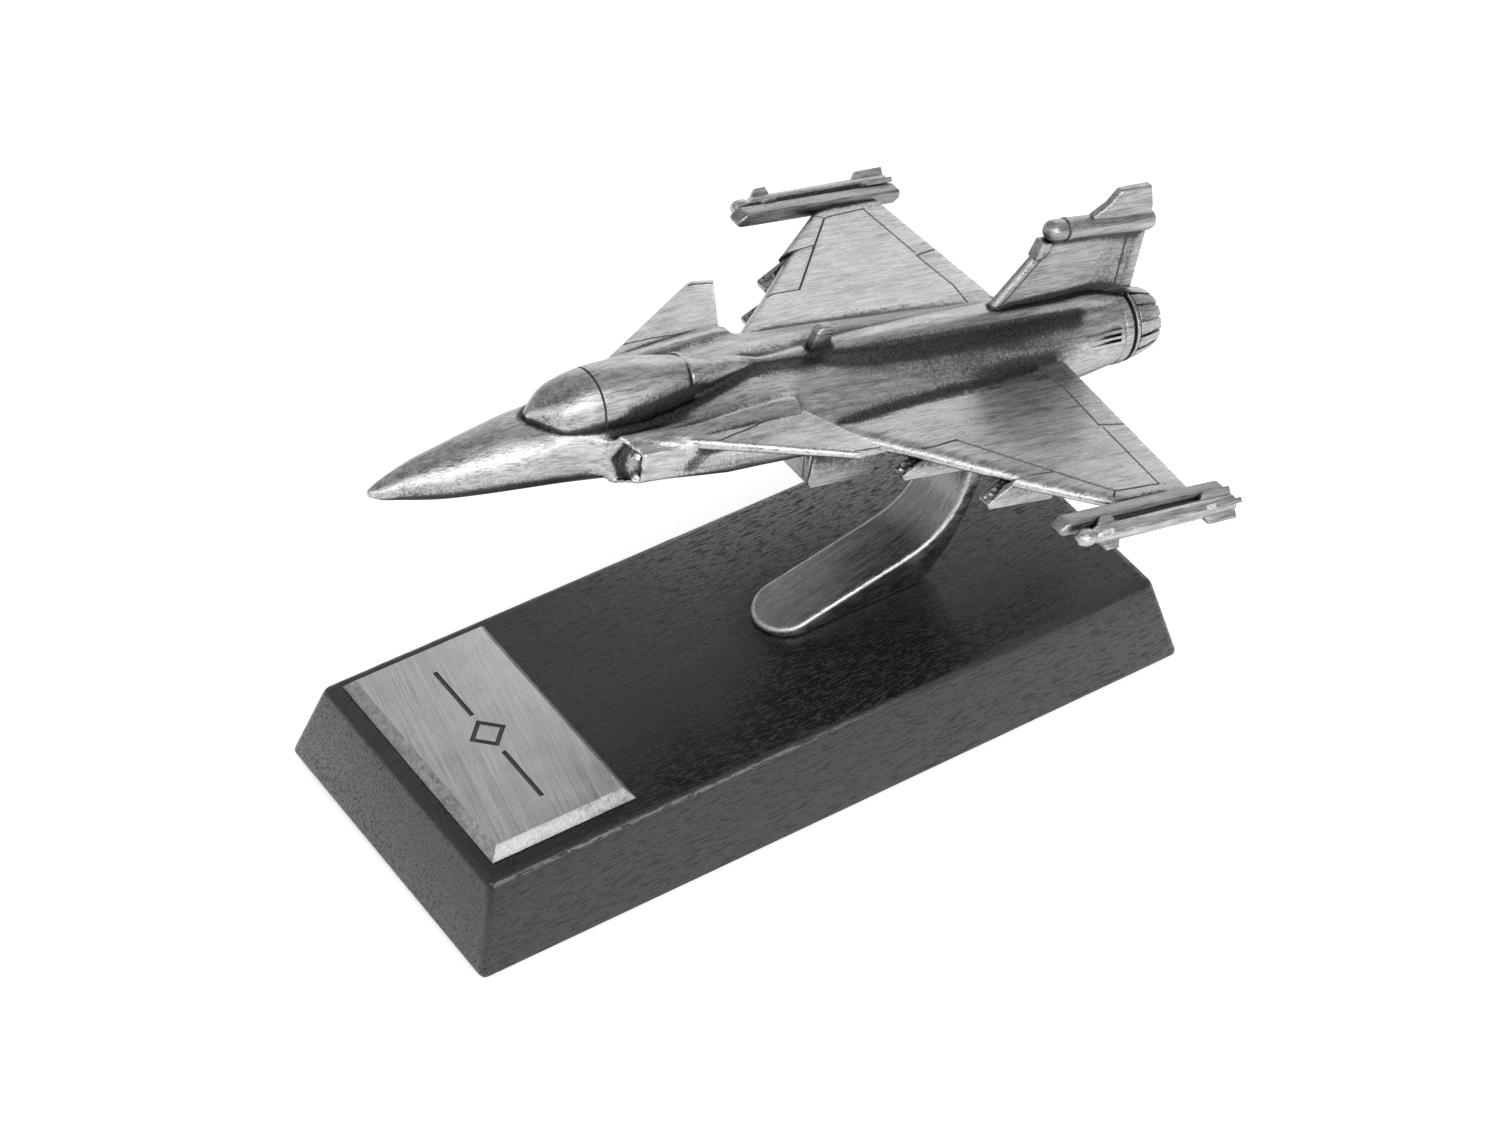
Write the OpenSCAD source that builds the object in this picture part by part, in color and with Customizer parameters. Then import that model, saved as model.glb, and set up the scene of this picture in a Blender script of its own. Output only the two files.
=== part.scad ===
// Desk model of a single-engine canard jet fighter: a pewter casting on a curved
// strut, on a bevelled wooden plinth with a pewter name plate.
// +Z is up, the nose points to -Y and the aircraft's left wing to +X. The origin
// is the middle of the underside, where the felt rests on the desk.

/* [Plinth] */
// Length of the wood at its foot, along Y
plinth_l = 128; // [116:1:140]
// Width of the wood at its foot, along X
plinth_w = 56; // [54:1:64]
// Height of the wood
plinth_h = 15; // [13:0.5:18]
// How far each side leans in between foot and top
plinth_lean = 4; // [2:0.5:5]
// Width of the softened edges of the wood
plinth_edge = 0.6; // [0.3:0.1:1]
// Thickness of the felt under the wood
felt_t = 0.8; // [0.5:0.1:1.5]

/* [Name plate] */
// Width of the plate, along X
plate_w = 43; // [36:1:44]
// Depth of the plate, along Y
plate_d = 25; // [18:1:28]
// Thickness of the plate
plate_t = 1.8; // [1.2:0.1:2.5]
// Width of the plate's bevels
plate_bevel = 1.5; // [0.8:0.1:2]
// Thickness of the adhesive film under the plate
film_t = 0.15; // [0.1:0.05:0.3]

/* [Strut] */
// Width of the strut
strut_w = 10.4; // [9:0.2:12]
// Thread of the two screws that hold the strut
screw_d = 3; // [2.5:0.5:3.5]

/* [Aircraft] */
// Nose-up pitch of the aircraft, in degrees
pitch = 13; // [11:0.5:15]
// Height of the nose tip above the top of the wood
nose_rise = 59.3; // [58:0.1:61]
// Distance of the nose tip ahead of the plinth's middle
nose_ahead = 64.5; // [62:0.5:67]
// Thickness of the wing where it leaves the body
wing_t = 2.5; // [2:0.1:3]
// Thickness of the fin
fin_t = 1.6; // [1.2:0.1:2]
// Diameter of the wing-tip missiles
missile_d = 2.7; // [2.2:0.1:3]

/* [Hidden] */
$fn = 48;

wood_top = felt_t + plinth_h;
far = 200;                  // reaches past everything, for cutting tools

felt_inset = 3;
plate_y = -45.2;
plate_x = -0.7;
film_inset = 1;
groove_w = 0.7;             // engraved ornament on the plate
groove_depth = 0.35;

strut_front = 2.1;
screw_y = [10, 23];         // along the strut's foot
screw_grip = [2.0, 4.0];    // thread inside the foot, under each screw place
screw_clearance = 0.2;
head_d = 5.6;
head_h = 1.6;
washer_d = 7;
washer_t = 0.5;
counterbore_d = 8.4;
counterbore_h = 6;

// Aircraft stations run aft from the nose tip, heights up from it.
root_x = 12;                // where the wings leave the root fairing
rail_x = 39.7;              // inner face of the wing-tip rails
rail_w = 2.6;
belly_seat = -4.8;          // flat seats under the body, for strut and pylon
nozzle_start = 131.5;
nozzle_end = 140;
engine_z = 2.4;             // height of the engine's axis
canopy_start = 24;
canopy_end = 51.5;
canopy_sill = 7.3;
fin_slot_z = 9;
dogtooth_x = 29.9;
canard_root_x = 10.6;
canard_tip_x = 22.2;
missile_x = 44;
missile_z = 2.5;

pewter = "silver";
old_pewter = "darkgray";

function mix(a, b, k) = a + (b - a) * k;

function bezier(a, b, c, d, steps) = [for (i = [0:steps]) let (k = i / steps, j = 1 - k)
    a * j * j * j + 3 * b * j * j * k + 3 * c * j * k * k + d * k * k * k];

// One closed cross-section: a rounded box of half-width w, from low to high.
function ring(s, mid, w, low, high, square, count = 28) = [for (i = [0:count - 1])
    let (a = 360 * i / count, c = cos(a), d = sin(a), z = (low + high) / 2)
    [mid + w * sign(c) * pow(abs(c), 2 / square), s,
     z + (high - low) / 2 * sign(d) * pow(abs(d), 2 / square)]];

// A solid through a row of closed cross-sections that all have as many points.
module loft(rings) {
    n = len(rings[0]);
    last = len(rings) - 1;
    polyhedron(
        points = [for (r = rings) each r],
        faces = [
            [for (i = [n - 1:-1:0]) i],
            for (r = [0:last - 1], i = [0:n - 1]) let (j = (i + 1) % n)
                each [[r * n + i, (r + 1) * n + j, (r + 1) * n + i],
                      [r * n + i, r * n + j, (r + 1) * n + j]],
            [for (i = [0:n - 1]) last * n + i]],
        convexity = 4);
}

// Places what is drawn in the aircraft's axes on the stand.
module flying() {
    translate([0, -nose_ahead, wood_top + nose_rise]) rotate([-pitch, 0, 0]) children();
}

module left_and_right(side) {
    mirror([side < 0 ? 1 : 0, 0, 0]) children();
}

// A plate cut from a side view (station, height), centred on x.
module side_plate(outline, x, width) {
    translate([x + width / 2, 0, 0]) rotate([90, 0, -90]) mirror([1, 0, 0])
        linear_extrude(width) polygon(outline);
}

// ---------------------------------------------------------------- stand

// A block with four leaning sides and softened edges.
module bevelled_block(foot_x, foot_y, height, lean, edge) {
    intersection() {
        rotate([90, 0, 0]) linear_extrude(far, center = true)
            leaning_outline(foot_x, height, lean, edge);
        rotate([90, 0, 90]) linear_extrude(far, center = true)
            leaning_outline(foot_y, height, lean, edge);
    }
}

module leaning_outline(foot, height, lean, edge) {
    half = foot / 2;
    top = half - lean;
    slope = lean / height;
    polygon([[-half + edge, 0], [half - edge, 0], [half - edge * slope, edge],
        [top + edge * slope, height - edge], [top - edge, height],
        [-top + edge, height], [-top - edge * slope, height - edge],
        [-half + edge * slope, edge]]);
}

module felt_pad() {
    color("black") translate([0, 0, felt_t / 2])
        cube([plinth_w - 2 * felt_inset, plinth_l - 2 * felt_inset, felt_t], center = true);
}

module plinth() {
    color("#1c1a19") difference() {
        translate([0, 0, felt_t])
            bevelled_block(plinth_w, plinth_l, plinth_h, plinth_lean, plinth_edge);
        for (y = screw_y) translate([0, y, 0]) {
            cylinder(d = screw_d + screw_clearance, h = far);
            cylinder(d = counterbore_d, h = felt_t + counterbore_h);
        }
    }
}

module plate_film() {
    color("ivory") translate([plate_x, plate_y, wood_top + film_t / 2])
        cube([plate_w - 2 * film_inset, plate_d - 2 * film_inset, film_t], center = true);
}

// The plate carries a plain engraved rule with a lozenge in its middle.
module name_plate() {
    color(pewter) translate([plate_x, plate_y, wood_top + film_t]) difference() {
        bevelled_block(plate_w, plate_d, plate_t, plate_bevel, 0.2);
        translate([0, 0, plate_t - groove_depth]) {
            for (side = [-1, 1]) translate([side * plate_w / 4.4, 0, 0])
                linear_extrude(far) square([plate_w / 4, groove_w], center = true);
            linear_extrude(far) difference() {
                rotate(45) square(4.4, center = true);
                rotate(45) square(4.4 - 2 * groove_w, center = true);
            }
        }
    }
}

// Side view of the strut, above the wood: a long foot that sweeps up to the belly.
strut_top_line = concat([[strut_front, 0], [strut_front, 1.2], [25, 6.3]],
    bezier([27, 6.8], [33, 8.3], [35.8, 13], [36.7, 18.5], 8), [[39.5, 38]]);
strut_back_line = concat(bezier([29, 0], [33.5, 2.6], [37, 9], [39.7, 16], 8), [[44.6, 38]]);

module stand_strut() {
    half = strut_w / 2;
    color(old_pewter) difference() {
        translate([0, 0, wood_top]) intersection() {
            side_plate(concat(strut_top_line, [for (i = [9:-1:0]) strut_back_line[i]]), 0, strut_w);
            linear_extrude(far) {
                translate([0, strut_front + half]) circle(half);
                translate([-half, strut_front + half]) square([strut_w, far]);
            }
        }
        flying() translate([-far / 2, 0, belly_seat]) cube([far, far, far]);
        for (i = [0, 1]) translate([0, screw_y[i], 0])
            cylinder(d = screw_d, h = wood_top + screw_grip[i]);
    }
}

module strut_screws() {
    head_z = felt_t + counterbore_h - washer_t - head_h;
    color("dimgray") for (i = [0, 1]) translate([0, screw_y[i], 0]) difference() {
        union() {
            translate([0, 0, head_z]) cylinder(d = head_d, h = head_h);
            translate([0, 0, head_z]) cylinder(d = screw_d, h = wood_top + screw_grip[i] - head_z);
        }
        translate([0, 0, head_z]) for (turn = [0, 90]) rotate(turn)
            cube([head_d * 0.6, 0.7, 1.6], center = true);
    }
}

module screw_washers() {
    color("gray") for (y = screw_y) translate([0, y, felt_t + counterbore_h - washer_t])
        difference() {
            cylinder(d = washer_d, h = washer_t);
            translate([0, 0, -1]) cylinder(d = screw_d + screw_clearance, h = far);
        }
}

// ---------------------------------------------------------------- aircraft body

// [station, half-width, low, high, squareness]
body_stations = [[0, 0.4, -0.4, 0.4, 2], [2, 1.3, -1.2, 1.4, 2], [5, 2.2, -1.7, 2.7, 2],
    [8, 3, -2.2, 3.8, 2], [11, 3.6, -2.6, 4.6, 2], [17, 4.6, -3, 6.3, 2],
    [23, 5.4, -3.2, 7.6, 2], [30, 5.9, -3.3, 8.1, 2.1], [37, 6.3, -3.4, 8.1, 2.3],
    [46, 7, -3.7, 8.2, 2.8],
    [60, 8, -4.4, 9.2, 2.8], [75, 8.6, -5, 9.4, 2.6], [90, 8.6, -5.2, 9.2, 2.3],
    [105, 8.4, -5.2, 9.2, 2.1], [118, 7.7, -4.9, 9.3, 2], [126, 6.9, -4.5, 9.2, 2],
    [nozzle_start, 6.1, engine_z - 6.1, engine_z + 6.1, 2]];

// [station, middle, half-width, low, high]
trunk_stations = [[35.5, 8.3, 1.9, 0.6, 6.6], [38.5, 8.6, 2.6, 0, 6.9],
    [46, 8.3, 3.5, -1, 7.1], [58, 8, 3.9, -1.4, 7.5], [68, 7.9, 4, -1.5, 7.3],
    [80, 7.4, 4.2, -1.8, 5.9], [92, 6.8, 4.2, -2, 4.9], [106, 5.6, 3.8, -1.8, 4.6],
    [116, 4.6, 3, -1.2, 4.4]];

// [station, half-width, high]
spine_stations = [[canopy_end, 3.5, 12.4], [56, 2.7, 11.6], [60, 1.8, 10.8], [64.5, 0.9, 10],
    [72, 1.6, 9.9], [82, 2.2, 10.3], [95, 2.5, 10.5], [105, 2.6, 10.4], [118, 2.7, 10.3],
    [128, 2.7, 10.1], [132, 2.2, 8.6]];
spine_foot = 6;

// [station, half-width, high]
canopy_stations = [[canopy_start, 0.5, 8.4], [26, 2.4, 10], [28, 3.8, 11.3], [31, 4.6, 12.6],
    [34, 4.9, 13.3], [38, 5, 13.7], [42, 4.8, 13.7], [47, 4.2, 13.1], [canopy_end, 3.5, 12.4]];

module canopy_outline() {
    polygon(concat([for (r = canopy_stations) [r[1], r[0]]],
        [for (i = [len(canopy_stations) - 1:-1:0]) [-canopy_stations[i][1], canopy_stations[i][0]]]));
}

module intake_trunk() {
    loft([for (r = trunk_stations) ring(r[0], r[1], r[2], r[3], r[4], 3, 20)]);
}

// Five-sided mouth of an air intake, sunk a little way into the trunk.
module intake_mouth() {
    side_plate([[35, 1], [38.2, 1], [38.2, 6], [35, 6]], 8.4, 2.6);
}

// The shelf that the wing grows from, and the ridge that the canard grows from.
module root_shelf() {
    translate([0, 0, 2.7]) linear_extrude(wing_t)
        polygon([[0, 66], [root_x - 1, 68.6], [root_x, 69.9], [root_x, 116.8], [0, 116.8]]);
}

module canard_ridge() {
    side_plate([[44, 4], [45, 6.6], [63.5, 8.4], [65.6, 8], [67, 4]], canard_root_x - 2, 4);
}

module fuselage() {
    color(pewter) flying() difference() {
        union() {
            loft([for (r = body_stations) ring(r[0], 0, r[1], r[2], r[3], r[4])]);
            loft([for (r = spine_stations) ring(r[0], 0, r[1], spine_foot, r[2], 2.4, 20)]);
            for (side = [-1, 1]) left_and_right(side) {
                intake_trunk();
                root_shelf();
                canard_ridge();
            }
            translate([-5.6, 105.5, belly_seat]) cube([11.2, 8, 6]);
            translate([-5, 74, belly_seat]) cube([10, 14.5, 6]);
        }
        translate([0, 0, canopy_sill]) linear_extrude(far) canopy_outline();
        translate([-fin_t / 2, 105, fin_slot_z]) cube([fin_t, far, far]);
        side_plate([[72.8, 9.2], [76.8, 9.2], [76.8, far], [72.8, far]], 0, 1.1);
        translate([-far / 2, 70, -far + belly_seat]) cube([far, 44, far]);
        for (side = [-1, 1]) left_and_right(side) {
            intake_mouth();
            translate([canard_root_x, 45, 4.9]) cube([far, 21, far]);
            translate([root_x, 0, -far / 2]) cube([far, far, far]);
        }
    }
}

module canopy() {
    color(pewter) flying() difference() {
        loft([for (r = canopy_stations)
            ring(r[0], 0, r[1], 2 * canopy_sill - r[2], r[2], 2.2, 28)]);
        translate([-far / 2, 0, canopy_sill - far]) cube([far, far, far]);
    }
}

// A short cone with a raised ring at its root and a blind recess behind its lip.
module exhaust_nozzle() {
    length = nozzle_end - nozzle_start;
    color(old_pewter) flying() translate([0, nozzle_start, engine_z]) rotate([-90, 0, 0])
        rotate_extrude($fn = 72)
            polygon([[0, 0], [6.1, 0], [6.2, 0.6], [6.2, 1.8], [5.9, 2], [5.8, 2.8],
                [6, 3], [5.9, 3.6], [4.6, length], [4, length], [3.4, 3.4], [0, 3.4]]);
}

// ---------------------------------------------------------------- flying surfaces

// Share of the full thickness at a share of the chord.
section = [[0, 0.25], [0.015, 0.6], [0.06, 0.9], [0.3, 1], [0.7, 0.75], [1, 0.3]];

// One wing section at x, given [station, height] of its leading and trailing edges.
function wing_ring(x, lead, trail, t) = concat(
    [for (p = section) section_point(x, lead, trail, p, t)],
    [for (i = [len(section) - 1:-1:0]) section_point(x, lead, trail, section[i], -t)]);
function section_point(x, lead, trail, p, t) =
    [x, mix(lead[0], trail[0], p[0]), mix(lead[1], trail[1], p[0]) + t / 2 * p[1]];

function wing_z(x) = 4.5 - 0.05 * x;
function wing_thick(x) = mix(wing_t, 1.9, (x - root_x) / (rail_x - root_x));
function wing_station(x, lead) =
    wing_ring(x, [lead, wing_z(x) - 0.5], [116.8, wing_z(x)], wing_thick(x));

// An inner panel, and an outer one that starts a little further forward.
module wing_panels() {
    loft([wing_station(root_x, 69.9), wing_station(20.8, 81.3), wing_station(dogtooth_x, 92.6)]);
    loft([wing_station(dogtooth_x, 91), wing_station(rail_x, 104.6)]);
}

module wing(side) {
    color(pewter) flying() left_and_right(side) wing_panels();
}

module wing_left() { wing(1); }
module wing_right() { wing(-1); }

module canard(side) {
    color(pewter) flying() left_and_right(side)
        loft([wing_ring(canard_root_x, [45.4, 5.8], [65, 7.8], 1.6),
            wing_ring(canard_tip_x, [67, 7.3], [72.1, 7.1], 1.2)]);
}

module canard_left() { canard(1); }
module canard_right() { canard(-1); }

// The fin stands in a slot along the spine. A round fairing and a cap top it.
module fin() {
    fairing_z = 22.7;
    color(pewter) flying() {
        side_plate([[106.4, fin_slot_z], [106.8, 10.8], [113.7, 20.2], [117, 21.5], [134.2, 20.6],
            [134.8, 9.6], [134.8, fin_slot_z]], 0, fin_t);
        translate([0, 115.4, fairing_z]) rotate([-93.5, 0, 0]) {
            sphere(1.7);
            cylinder(r = 1.7, h = 19.6);
            translate([0, 0, 2]) cylinder(r = 1.85, h = 0.7);
        }
        side_plate([[112.6, 18.5], [115, 18.5], [115, 21.4], [113.2, 21.4]], 0, 2);
        side_plate([[122, 22], [122.4, 24.3], [125, 26], [126.6, 28.2], [132.6, 28.2],
            [134.1, 24.4], [134.4, 22]], 0, 1.3);
    }
}

module spine_antenna() {
    color(pewter) flying()
        side_plate([[72.8, 9.2], [76.8, 9.2], [76.4, 12.4], [75.9, 12.9], [74.2, 12.9], [73.6, 12.2]],
            0, 1.1);
}

// ---------------------------------------------------------------- pylons and stores

module belly_pylon() {
    color(pewter) flying() intersection() {
        side_plate([[74.4, belly_seat], [76, -12.1], [76.6, -12.7], [86, -12.7], [87.6, -11.6],
            [88.4, belly_seat]], 0, 10);
        linear_extrude(far, center = true)
            polygon([[-5, 76.5], [-4, 74], [4, 74], [5, 76.5], [5, 89], [-5, 89]]);
    }
}

// A pylon under the wing: its nose reaches ahead of the leading edge.
module wing_pylon(side, x, nose, low) {
    color(pewter) flying() left_and_right(side) difference() {
        side_plate([[nose + 5, wing_z(x)], [nose, low + 1.7], [nose + 0.6, low + 0.7],
            [nose + 12.5, low], [nose + 17, wing_z(x)]], x, 2.4);
        wing_panels();
    }
}

module inner_pylon_left() { wing_pylon(1, 19.8, 78, -1.3); }
module inner_pylon_right() { wing_pylon(-1, 19.8, 78, -1.3); }
module outer_pylon_left() { wing_pylon(1, 28.6, 87.4, -2.3); }
module outer_pylon_right() { wing_pylon(-1, 28.6, 87.4, -2.3); }

module tip_rail(side) {
    color(pewter) flying() left_and_right(side)
        side_plate([[89.9, 2.8], [90.8, 1.8], [121, 1.2], [122.1, 2.2], [121.8, 3.7], [91.5, 4.2]],
            rail_x + rail_w / 2, rail_w);
}

module tip_rail_left() { tip_rail(1); }
module tip_rail_right() { tip_rail(-1); }

// A slim missile on the rail's outer face, with a round nose and two sets of fins.
module tip_missile(side) {
    r = missile_d / 2;
    color(pewter) flying() left_and_right(side) difference() {
        translate([missile_x, 0, missile_z]) {
            rotate([-90, 0, 0]) rotate_extrude()
                polygon([[0, 92], [0.7, 92.2], [1.2, 93], [1.3, 94], [1.1, 95], [r, 95.6],
                    [r, 121.4], [1, 121.8], [0, 121.8]]);
            missile_fins([[95, 0], [97, 2.5], [98.8, 2.5], [99.6, 0]]);
            missile_fins([[114.8, 0], [116.6, 2.8], [121.6, 2.8], [121.6, 0]]);
        }
        translate([0, 0, -far / 2]) cube([rail_x + rail_w, far, far]);
    }
}

module missile_fins(outline) {
    for (turn = [45:90:315]) rotate([0, turn, 0]) side_plate(outline, 0, 0.8);
}

module tip_missile_left() { tip_missile(1); }
module tip_missile_right() { tip_missile(-1); }

felt_pad();
plinth();
plate_film();
name_plate();
stand_strut();
strut_screws();
screw_washers();
fuselage();
canopy();
exhaust_nozzle();
wing_left();
wing_right();
canard_left();
canard_right();
fin();
spine_antenna();
belly_pylon();
inner_pylon_left();
inner_pylon_right();
outer_pylon_left();
outer_pylon_right();
tip_rail_left();
tip_rail_right();
tip_missile_left();
tip_missile_right();
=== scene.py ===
import math
import bmesh
import bpy
import numpy as np
from mathutils import Matrix, Vector
from mathutils.bvhtree import BVHTree


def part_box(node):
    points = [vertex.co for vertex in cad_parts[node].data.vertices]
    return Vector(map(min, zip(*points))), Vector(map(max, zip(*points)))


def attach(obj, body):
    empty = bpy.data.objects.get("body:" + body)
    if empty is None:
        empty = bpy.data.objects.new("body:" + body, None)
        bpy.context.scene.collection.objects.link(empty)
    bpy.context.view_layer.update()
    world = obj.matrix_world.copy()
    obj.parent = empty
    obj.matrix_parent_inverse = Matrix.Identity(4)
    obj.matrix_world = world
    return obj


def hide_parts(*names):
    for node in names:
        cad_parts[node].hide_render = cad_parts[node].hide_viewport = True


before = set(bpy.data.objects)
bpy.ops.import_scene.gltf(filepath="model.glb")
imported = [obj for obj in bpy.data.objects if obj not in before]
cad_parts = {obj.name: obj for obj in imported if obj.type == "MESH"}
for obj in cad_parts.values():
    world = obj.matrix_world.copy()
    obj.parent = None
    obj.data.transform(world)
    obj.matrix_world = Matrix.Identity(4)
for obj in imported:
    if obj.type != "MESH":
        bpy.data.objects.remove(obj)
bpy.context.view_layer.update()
root = bpy.context.scene.collection

# ---- Camera
# A long lens looks down on the nose from ahead and from the aircraft's left side,
# leaning a little to one side.
MM = 0.001
azimuth, elevation, lean = (math.radians(a) for a in (54.238, 43.156, 2.556))
looked_at = Vector((-7.62, 5.96, 19.57)) * MM
to_camera = Vector((math.sin(azimuth) * math.cos(elevation),
                    -math.cos(azimuth) * math.cos(elevation), math.sin(elevation)))
across = Vector((0, 0, 1)).cross(to_camera).normalized()
axes = Matrix((across, to_camera.cross(across), to_camera)).transposed().to_4x4()
camera_distance = 688.1 * MM
camera = bpy.data.objects.new("camera", bpy.data.cameras.new("camera"))
camera.data.sensor_width = 36
camera.data.lens = 108.27
camera.matrix_world = (Matrix.Translation(looked_at + camera_distance * to_camera) @ axes
                       @ Matrix.Rotation(lean, 4, "Z"))
root.objects.link(camera)
bpy.context.scene.camera = camera
bpy.context.scene.view_settings.view_transform = "Standard"

# ---- Studio
# A pale sheet of paper under soft boxes. The dome behind them is brightest halfway up and
# dimmest overhead, so that level metal shows a grey and not a white.


class Wire:
    """One output in a node tree. Arithmetic on it adds Math nodes to the tree."""

    def __init__(self, tree, socket=None):
        self.tree = tree
        self.socket = socket

    def node(self, kind, settings, inputs, output=0):
        """Any other node: its settings are set first, then its inputs' values or wires."""
        made = self.tree.nodes.new(kind)
        stops = settings.pop("stops", None)
        for name, value in settings.items():
            setattr(made, name, value)
        if stops:
            ramp = made.color_ramp.elements
            while len(ramp) < len(stops):
                ramp.new(0.5)
            for element, (place, shade) in zip(ramp, stops):
                element.position = place
                element.color = (shade, shade, shade, 1)
        for name, value in inputs.items():
            if isinstance(value, Wire):
                self.tree.links.new(value.socket, made.inputs[name])
            else:
                made.inputs[name].default_value = value
        return Wire(self.tree, made.outputs[output])

    def maths(self, operation, *values):
        return self.node("ShaderNodeMath", {"operation": operation}, dict(enumerate(values)))

    def __add__(self, other):
        return self.maths("ADD", self, other)

    def __sub__(self, other):
        return self.maths("SUBTRACT", self, other)

    def __rsub__(self, other):
        return self.maths("SUBTRACT", other, self)

    def __mul__(self, other):
        return self.maths("MULTIPLY", self, other)

    __radd__ = __add__
    __rmul__ = __mul__

    def over(self, low, high):
        """0 below low and 1 above high, or the other way round, with a soft step between."""
        return self.node("ShaderNodeMapRange", {"interpolation_type": "SMOOTHSTEP"},
                         {"Value": self, "From Min": low, "From Max": high})

    def blend(self, low, high):
        """A colour from low to high as this wire goes from 0 to 1."""
        return self.node("ShaderNodeMix", {"data_type": "RGBA"},
                         {0: self, 6: low, 7: high}, 2)


def paper_finish():
    paper = bpy.data.materials.new("studio_paper")
    paper.use_nodes = True
    shader = paper.node_tree.nodes["Principled BSDF"]
    shader.inputs["Base Color"].default_value = (0.9, 0.9, 0.9, 1)
    shader.inputs["Roughness"].default_value = 0.8
    shader.inputs["Emission Color"].default_value = (1, 1, 1, 1)
    shader.inputs["Emission Strength"].default_value = 0.5
    return paper


def light(name, direction, distance, size, power):
    """A soft box that looks at the model from a direction."""
    box = bpy.data.lights.new(name, "AREA")
    box.shape = "RECTANGLE"
    box.size, box.size_y = (side * MM for side in size)
    box.energy = power
    lamp = bpy.data.objects.new(name, box)
    aim = Vector(direction).normalized()
    lamp.matrix_world = (Matrix.Translation(looked_at + aim * distance * MM)
                         @ aim.to_track_quat("Z", "Y").to_matrix().to_4x4())
    root.objects.link(lamp)


PAPER = 1.5                         # metres from the middle to each edge
paper_mesh = bpy.data.meshes.new("paper")
paper_mesh.from_pydata([(-PAPER, -PAPER, 0), (PAPER, -PAPER, 0), (PAPER, PAPER, 0), (-PAPER, PAPER, 0)],
                       [], [(0, 1, 2, 3)])
paper_mesh.materials.append(paper_finish())
paper = bpy.data.objects.new("paper", paper_mesh)
root.objects.link(paper)

world = bpy.data.worlds.new("studio")
bpy.context.scene.world = world
world.use_nodes = True
dome = Wire(world.node_tree)
direction = dome.node("ShaderNodeTexCoord", {}, {}, "Generated")
height = direction.node("ShaderNodeSeparateXYZ", {}, {"Vector": direction}, "Z")
glow = height.node("ShaderNodeValToRGB", {"stops": [
    (0.0, 0.5), (0.2, 0.5), (0.45, 0.57), (0.7, 0.68), (1.0, 0.46)]}, {"Fac": height})
sky = world.node_tree.nodes["Background"]
world.node_tree.links.new(glow.socket, sky.inputs["Color"])
sky.inputs["Strength"].default_value = 1.0

light("key_softbox", (0.85, 0.0, 0.53), 640, (600, 380), 2.5)
light("front_softbox", (0.30, -0.65, 0.62), 900, (380, 420), 1.1)
light("far_softbox", (-0.66, 0.66, 0.35), 1000, (760, 240), 1.25)

# ---- Felt
# A thin black felt, glued under the wood a little in from its edge. Its wool fibres lie
# flat and scatter what little light they get.


def grained(shader_tree):
    """The surface's own coordinates, in metres."""
    return Wire(shader_tree).node("ShaderNodeTexCoord", {}, {}, "Object")


def noise(at, size, detail=2.0, roughness=0.5):
    """Noise whose grains are size long, in millimetres, along each axis."""
    scaled = at.node("ShaderNodeVectorMath", {"operation": "MULTIPLY"},
                     {0: at, 1: [1 / (MM * s) for s in size]})
    return scaled.node("ShaderNodeTexNoise", {}, {
        "Vector": scaled, "Scale": 1.0, "Detail": detail, "Roughness": roughness})


def new_material(name, **fixed):
    """An empty material, its shader, and wires that start from the piece's coordinates."""
    made = bpy.data.materials.new(name)
    made.use_nodes = True
    shader = made.node_tree.nodes["Principled BSDF"]
    for socket, value in fixed.items():
        shader.inputs[socket.replace("_", " ")].default_value = value
    return made, shader, grained(made.node_tree)


def connect(shader, colour, roughness, relief, depth):
    """Feeds a shader: colour, roughness, and relief as bumps of a depth in millimetres."""
    tree = shader.id_data
    bump = relief.node("ShaderNodeBump", {}, {"Height": relief, "Distance": depth * MM,
                                              "Strength": 1.0})
    for name, wire in (("Base Color", colour), ("Roughness", roughness), ("Normal", bump)):
        tree.links.new(wire.socket, shader.inputs[name])


def grey(value):
    return (value, value, value, 1)


def dress(node, material):
    """Gives a material to a CAD node that stays as it is."""
    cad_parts[node].data.materials.clear()
    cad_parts[node].data.materials.append(material)


felt, shader, at = new_material("black_felt", Specular_IOR_Level=0.1)
fibres = noise(at, (0.25, 0.9, 0.25), 4, 0.7)
connect(shader, fibres.blend(grey(0.008), grey(0.03)), fibres * 0.1 + 0.85, fibres, 0.2)
dress("felt_pad", felt)

# ---- Plinth
# A block of open-grained hardwood, its four sides sawn leaning, its edges sanded, stained
# black and lacquered. Its pores run along its length and show as dots on the ends.
LEAN = 4
EDGE = 1.2
low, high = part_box("plinth")
foot = high - low
wood_top = high.z / MM
standing = Matrix.Diagonal((MM, MM, MM, 1))


def new_piece(name, points, faces, place, material=None):
    """A closed piece at the origin, with its points put in place, all faces outwards."""
    mesh = bpy.data.meshes.new(name)
    mesh.from_pydata([place @ Vector(p) for p in points], [], faces)
    shell = bmesh.new()
    shell.from_mesh(mesh)
    bmesh.ops.recalc_face_normals(shell, faces=shell.faces)
    shell.to_mesh(mesh)
    shell.free()
    if material:
        mesh.materials.append(material)
    piece = bpy.data.objects.new(name, mesh)
    root.objects.link(piece)
    return piece


def settle(piece):
    """Turns what a piece's modifiers make into its plain mesh."""
    shape = piece.evaluated_get(bpy.context.evaluated_depsgraph_get())
    mesh = bpy.data.meshes.new_from_object(shape)
    piece.modifiers.clear()
    piece.data = mesh


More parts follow.
